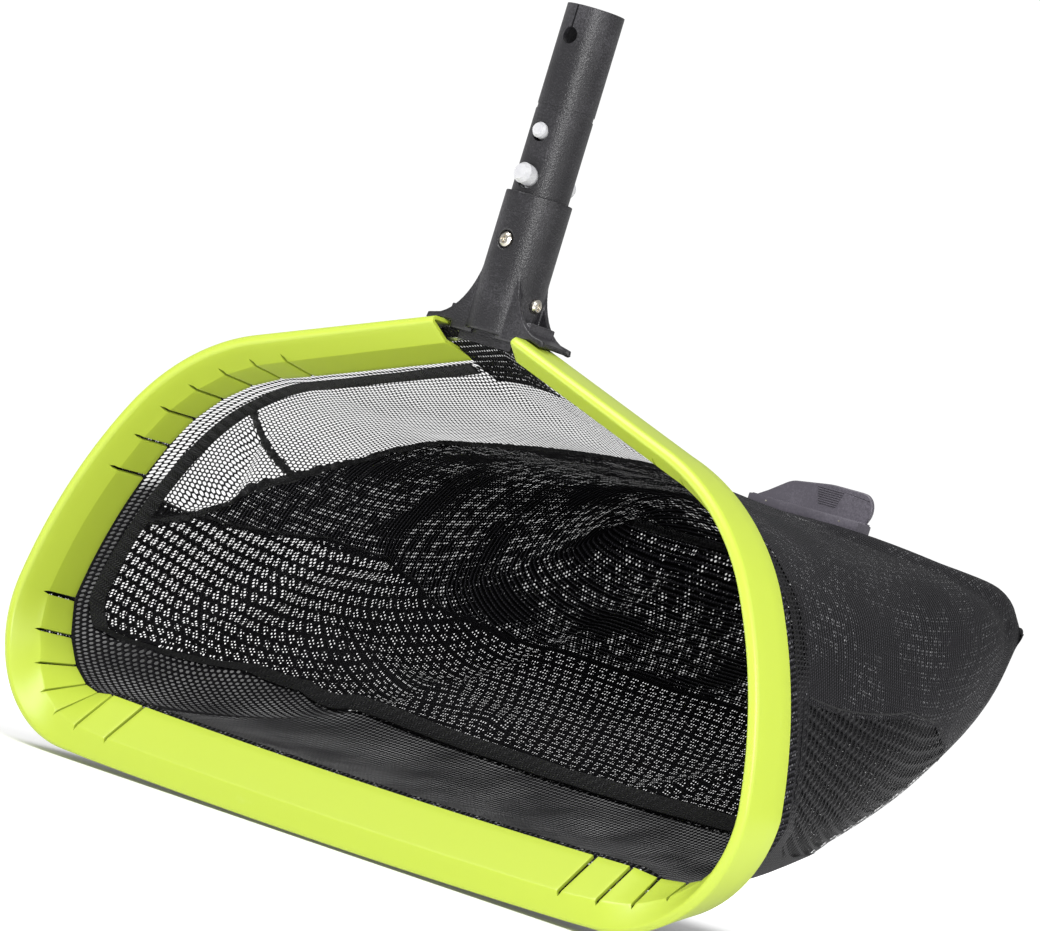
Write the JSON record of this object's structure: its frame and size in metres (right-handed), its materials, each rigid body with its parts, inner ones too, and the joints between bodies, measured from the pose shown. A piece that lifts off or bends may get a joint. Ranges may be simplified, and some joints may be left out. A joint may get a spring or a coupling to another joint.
{
  "type": "leaf skimmer net",
  "caption": "Deep-bag leaf skimmer net with a trapezoid hoop, clip-on plastic rim guard, pull tab and a spigot handle with spring buttons that plugs into a pool pole.",
  "frame": {"origin": "centre of the open end of the handle tube, on the tube's axis", "axes": "+Z out of the tube's open end along the handle, the mouth of the net faces -Y, the bag trails towards +Y, X across the rim"},
  "size_m": [0.4794, 0.388, 0.419],
  "materials": {
    "handle": "fine moulded texture",
    "guard": "satin extruded",
    "hoop": "drawn",
    "button": "semi-gloss",
    "spring": "spring steel",
    "fastener": "nickel plated",
    "net_fine": "fine hexagonal warp-knit mesh",
    "net_coarse": "coarse honeycomb mesh over fine mesh",
    "tape": "ribbed webbing tape",
    "tab": "satin"
  },
  "bodies": {
    "net": {"handle_tube": "handle", "yoke_body": "handle", "yoke_plug": "handle", "collar_screw": "fastener", "collar_nut": "fastener", "side_screws": "fastener", "clip_bend": "spring", "frame_hoop": "hoop", "rim_guard": "guard", "hem_sleeve": "net_fine", "net_collar": "net_fine", "mouth_tape": "tape", "net_roof": "net_fine", "net_side_left": "net_fine", "net_side_right": "net_fine", "net_floor": "net_coarse", "net_tail": "net_coarse", "tail_tape": "tape", "tab_grip": "tab", "tab_clamp_bar": "tab", "tab_backing": "tab", "tab_rivets": "fastener"},
    "front_clip": {"clip_arm_front": "spring", "lock_pin_front": "button", "release_button_front": "button"},
    "rear_clip": {"clip_arm_rear": "spring", "lock_pin_rear": "button", "release_button_rear": "button"}
  },
  "joints": [
    {"name": "front_buttons", "type": "hinge", "parent": "net", "child": "front_clip", "pos_m": [0, -0.004, -0.024], "axis": [1, 0, 0], "range_deg": [0, 4.2], "stiffness_Nm_per_rad": 6, "springref_deg": -2.86},
    {"name": "rear_buttons", "type": "hinge", "parent": "net", "child": "rear_clip", "pos_m": [0, 0.004, -0.024], "axis": [-1, 0, 0], "range_deg": [0, 4.2], "stiffness_Nm_per_rad": 6, "springref_deg": -2.86}
  ]
}
